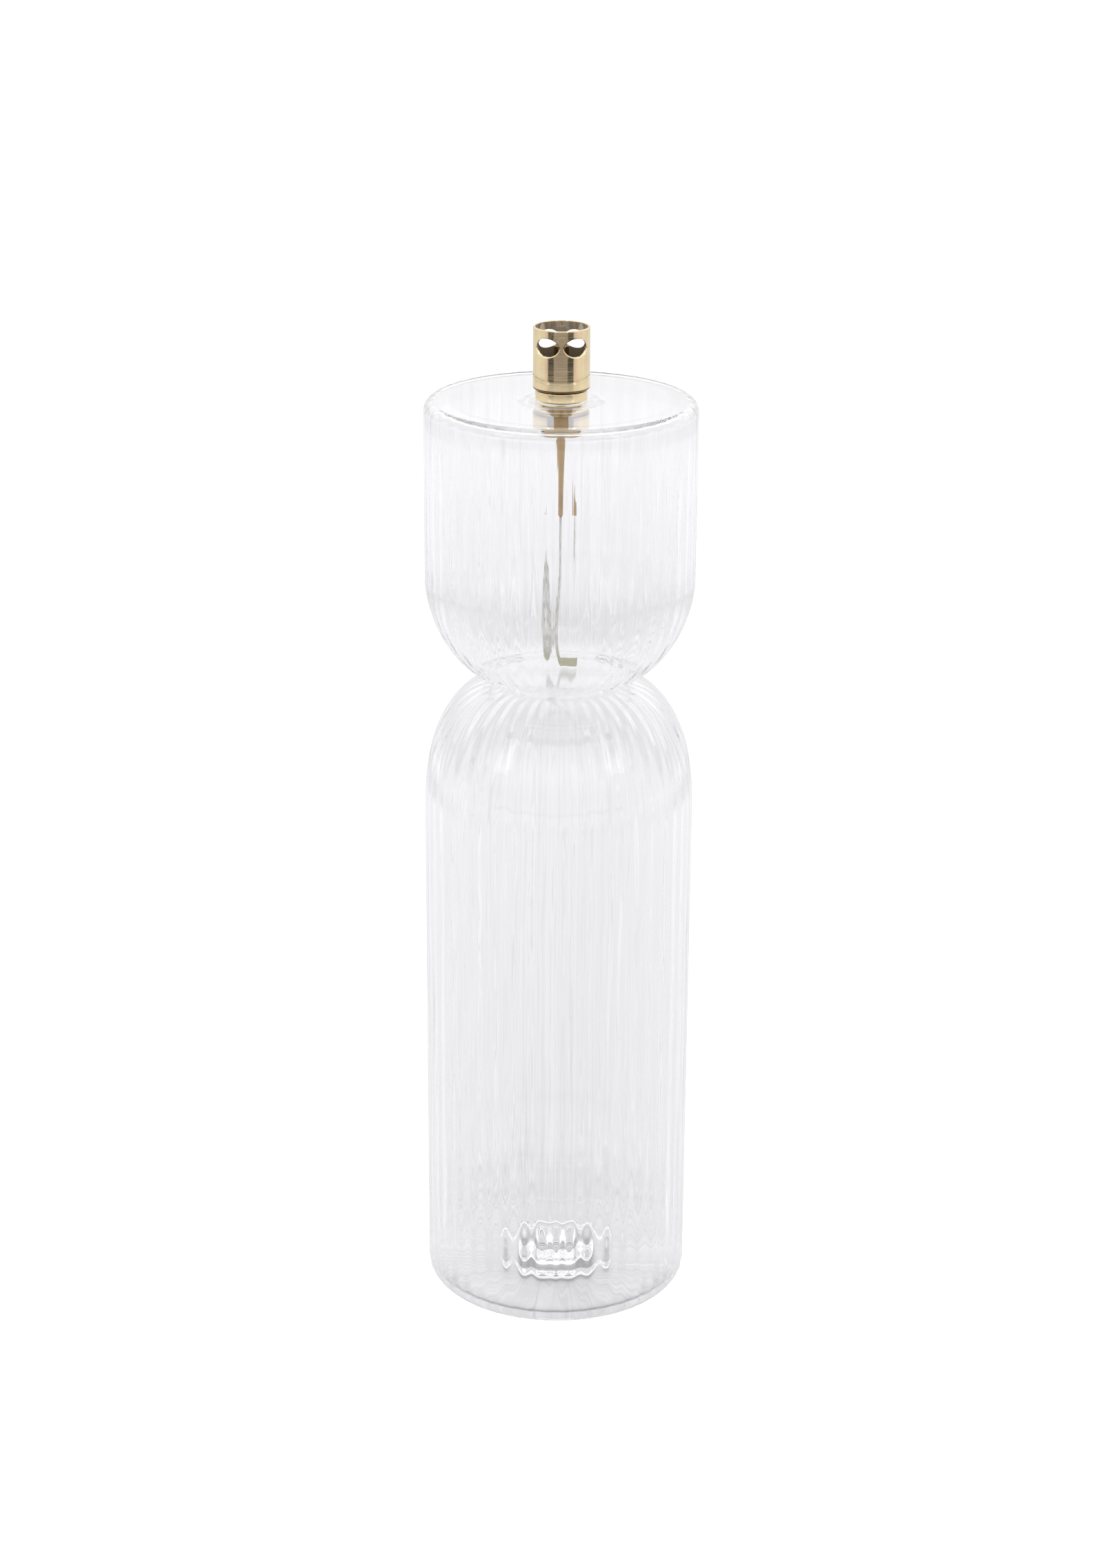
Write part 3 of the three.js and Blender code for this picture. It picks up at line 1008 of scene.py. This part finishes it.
sleeve = growPiece(linkPiece("burnerSleeve", makeSleeveHalf(sleeveShape)), makeRoundTree(), {
    "Count": sleeveShape["halves"], "Start": math.pi / 2, "Material": sleeveBrass,
})
faceOutwards(sleeve.data)
sleeve.data.shade_smooth()
sleeve.data.set_sharp_from_angle(angle=math.radians(28))
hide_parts("burner_sleeve")
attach(sleeve, "sleeve")
print("sleeve drilled:", len(sleeve.data.polygons), "faces")

# The studio: a white table under an even sky with two tall soft lamps
studio = {
    "floorSize": 14.0,
    "floorColor": (0.92, 0.92, 0.92),
    "skyLow": 0.78,        # near the horizon
    "skyHigh": 1.28,
    "skyLeft": 0.92,
    "skyRight": 1.06,
    "lampTurn": 55,        # degrees either side of the front
    "lampWidth": 5,
    "lampPower": 1.6,
    "lampFrom": 0.26,
    # what the glass and the brass see of the table, by distance in metres: a painted tone with painted
    # shadows under the middle and round the vent, and painted darker bands further out
    "paintedTableTone": [(0.0, 0.55), (0.0060, 0.50), (0.0085, 0.24), (0.0135, 0.24), (0.0165, 0.64), (0.030, 0.74),
                  (0.045, 0.77), (0.09, 0.86), (0.2155, 0.88), (0.366, 0.90), (0.50, 0.93), (0.56, 0.86),
                  (0.61, 0.79), (0.69, 0.76), (0.76, 0.85), (0.83, 0.92), (1.0, 0.955), (1.13, 0.98),
                  (1.25, 0.93), (1.35, 0.86)],
    "toneReach": 1.4,
    "toneTint": (1.0, 0.996, 1.018),
    "toneRays": 26.0,      # soft rays in the tone, which the ribs break into streaks
    "rayDepth": 0.30,
    "footShade": 0.55,     # the shade under the front of the foot
    "footAt": 0.0425,
    "footWidth": 0.010,
    "paintedSideLight": 0.08,      # painted light: the table's tone is brighter to either side
    # a grey sheet in front that only reflections show, a painted reflection: its tone by degrees either side
    # of the front
    "sheetTone": [(0, 0.33), (26, 0.35), (30, 0.05), (50, 0.05), (55, 0.75), (75, 1.0)],
    "sheetTint": (1.0, 0.90, 0.96),
    "sheetTurn": -3.0,
    "sheetEdges": [(1.28, 0.001), (1.62, 0.001)],     # radius and height of its two edges
    "screenEdges": [(0.15, 0.310), (0.15, 0.350)],    # a screen of the same painted tone at the burner's height
    "stripSteps": 40,
}


# Degrees either side of the front, from a position or a direction
def degreesFromFront(tree, vector, turn=0.0):
    split = tree.nodes.new("ShaderNodeSeparateXYZ")
    tree.links.new(vector, split.inputs[0])
    back = calc(tree, "MULTIPLY", split.outputs["Y"], -1.0)
    angle = calc(tree, "ADD", calc(tree, "ARCTAN2", split.outputs["X"], back), math.radians(-turn))
    return calc(tree, "MULTIPLY", calc(tree, "ABSOLUTE", angle), 180 / math.pi), split


# Soft rays round the axis, as a factor near 1
def softRays(tree, vector, settings):
    flat = tree.nodes.new("ShaderNodeSeparateXYZ")
    tree.links.new(vector, flat.inputs[0])
    direction = tree.nodes.new("ShaderNodeVectorMath")
    direction.operation = "NORMALIZE"
    tree.links.new(combine(tree, flat.outputs["X"], flat.outputs["Y"], 0.0), direction.inputs[0])
    rays = tree.nodes.new("ShaderNodeTexNoise")
    rays.inputs["Scale"].default_value = settings["toneRays"]
    rays.inputs["Detail"].default_value = 2.0
    tree.links.new(direction.outputs[0], rays.inputs["Vector"])
    factor = spread(tree, rays.outputs["Fac"], 1 - settings["rayDepth"], 1 + settings["rayDepth"])
    return factor, direction.outputs[0]


def unlit(tree, color, strength=1.0):
    shader = tree.nodes.new("ShaderNodeEmission")
    feed(tree, shader.inputs["Color"], color)
    feed(tree, shader.inputs["Strength"], strength)
    return shader.outputs[0]


# The table is white to the camera and to diffuse light; the glass and the brass see it as a pale grey, an
# unlit painted tone with painted shadows and painted light
def makeFloor(settings):
    half = settings["floorSize"] / 2
    mesh = bpy.data.meshes.new("studioFloor")
    corners = [(-half, -half, 0), (half, -half, 0), (half, half, 0), (-half, half, 0)]
    mesh.from_pydata(corners, [], [(0, 1, 2, 3)])
    material, tree, shader = newMaterial("studioFloor")
    shader.inputs["Base Color"].default_value = (*settings["floorColor"], 1)
    shader.inputs["Roughness"].default_value = 0.9
    shader.inputs["Specular IOR Level"].default_value = 0.0
    place = tree.nodes.new("ShaderNodeTexCoord")
    length = tree.nodes.new("ShaderNodeVectorMath")
    length.operation = "LENGTH"
    tree.links.new(place.outputs["Object"], length.inputs[0])
    reach = calc(tree, "DIVIDE", length.outputs["Value"], settings["toneReach"])
    tint = settings["toneTint"]
    # Painted shade: the tone darkens under the middle, round the vent and in bands further out
    tone = ramp(tree, reach, [(at / settings["toneReach"], tuple(grey * share for share in tint))
                              for at, grey in settings["paintedTableTone"]])
    strength, direction = softRays(tree, place.outputs["Object"], settings)
    facing = tree.nodes.new("ShaderNodeSeparateXYZ")
    tree.links.new(direction, facing.inputs[0])
    # Painted light to either side, and painted shade under the front of the foot
    aside = calc(tree, "MULTIPLY", facing.outputs["X"], facing.outputs["X"])
    lift = calc(tree, "MULTIPLY_ADD", aside, settings["paintedSideLight"], 1.0)
    off = calc(tree, "ABSOLUTE", calc(tree, "SUBTRACT", length.outputs["Value"], settings["footAt"]))
    shade = tree.nodes.new("ShaderNodeMapRange")
    shade.interpolation_type = "SMOOTHSTEP"
    shade.inputs["From Min"].default_value = settings["footWidth"]
    shade.inputs["From Max"].default_value = 0.0
    tree.links.new(off, shade.inputs["Value"])
    front = calc(tree, "MAXIMUM", calc(tree, "MULTIPLY", facing.outputs["Y"], -1.0), 0.0)
    foot = calc(tree, "MULTIPLY", shade.outputs["Result"], front)
    foot = calc(tree, "MULTIPLY", foot, -settings["footShade"])
    strength = calc(tree, "MULTIPLY", calc(tree, "MULTIPLY", strength, lift), calc(tree, "ADD", foot, 1.0))
    path = tree.nodes.new("ShaderNodeLightPath")
    mix = tree.nodes.new("ShaderNodeMixShader")
    tree.links.new(calc(tree, "MAXIMUM", path.outputs["Is Camera Ray"], path.outputs["Is Diffuse Ray"]),
                   mix.inputs["Fac"])
    tree.links.new(unlit(tree, tone, strength), mix.inputs[1])
    tree.links.new(shader.outputs[0], mix.inputs[2])
    tree.links.new(mix.outputs[0], tree.nodes["Material Output"].inputs["Surface"])
    mesh.materials.append(material)
    linkPiece("studioFloor", mesh)


def makeBandedMaterial(settings):
    material, tree, _ = newMaterial("greyBands")
    place = tree.nodes.new("ShaderNodeTexCoord")
    degrees = degreesFromFront(tree, place.outputs["Object"], settings["sheetTurn"])[0]
    reach = settings["sheetTone"][-1][0]
    tone = ramp(tree, calc(tree, "DIVIDE", degrees, reach),
                [(at / reach, tuple(grey * share for share in settings["sheetTint"]))
                 for at, grey in settings["sheetTone"]])
    tree.links.new(unlit(tree, tone), tree.nodes["Material Output"].inputs["Surface"])
    return material


# A curved strip in front of the lamp that only reflections show: an unlit painted reflection, dark in bands
def makeFrontStrip(name, edges, material, settings):
    steps = settings["stripSteps"]
    reach = settings["sheetTone"][-1][0]
    verts = []
    for step in range(steps + 1):
        angle = math.radians(reach * (2 * step / steps - 1))
        for radius, height in edges:
            verts.append((radius * math.sin(angle), -radius * math.cos(angle), height))
    mesh = bpy.data.meshes.new(name)
    mesh.from_pydata(verts, [], [(2 * i, 2 * i + 1, 2 * i + 3, 2 * i + 2) for i in range(steps)])
    mesh.materials.append(material)
    strip = linkPiece(name, mesh)
    strip.visible_camera = False
    strip.visible_diffuse = False
    strip.visible_shadow = False
    strip.visible_transmission = False


def makeSky(settings):
    world = bpy.data.worlds.new("studioSky")
    world.use_nodes = True
    tree = world.node_tree
    place = tree.nodes.new("ShaderNodeTexCoord")
    degrees, split = degreesFromFront(tree, place.outputs["Generated"])
    height = tree.nodes.new("ShaderNodeMapRange")
    height.inputs["From Max"].default_value = 0.4
    height.inputs["To Min"].default_value = settings["skyLow"]
    height.inputs["To Max"].default_value = settings["skyHigh"]
    tree.links.new(split.outputs["Z"], height.inputs["Value"])
    across = calc(tree, "MULTIPLY_ADD", split.outputs["X"], 0.5, 0.5)
    side = spread(tree, across, settings["skyLeft"], settings["skyRight"])
    away = calc(tree, "ABSOLUTE", calc(tree, "SUBTRACT", degrees, settings["lampTurn"]))
    lamp = tree.nodes.new("ShaderNodeMapRange")
    lamp.interpolation_type = "SMOOTHSTEP"
    lamp.inputs["From Min"].default_value = settings["lampWidth"] * 1.5
    lamp.inputs["From Max"].default_value = settings["lampWidth"] * 0.5
    lamp.inputs["To Max"].default_value = settings["lampPower"]
    tree.links.new(away, lamp.inputs["Value"])
    lampOn = calc(tree, "GREATER_THAN", split.outputs["Z"], settings["lampFrom"])
    rays, _ = softRays(tree, place.outputs["Generated"], settings)
    even = calc(tree, "MULTIPLY", calc(tree, "MULTIPLY", height.outputs["Result"], side), rays)
    level = calc(tree, "MULTIPLY_ADD", lamp.outputs["Result"], lampOn, even)
    tree.links.new(level, tree.nodes["Background"].inputs["Strength"])
    tree.nodes["Background"].inputs["Color"].default_value = (1, 1, 1, 1)
    bpy.context.scene.world = world


makeFloor(studio)
bandedMaterial = makeBandedMaterial(studio)
makeFrontStrip("greySheet", studio["sheetEdges"], bandedMaterial, studio)
makeFrontStrip("greyScreen", studio["screenEdges"], bandedMaterial, studio)
makeSky(studio)

scene = bpy.context.scene
scene.view_settings.view_transform = "Standard"
scene.cycles.max_bounces = 64
scene.cycles.transmission_bounces = 64
scene.cycles.glossy_bounces = 64
scene.cycles.transparent_max_bounces = 24
scene.cycles.use_denoising = True
print("studio set")
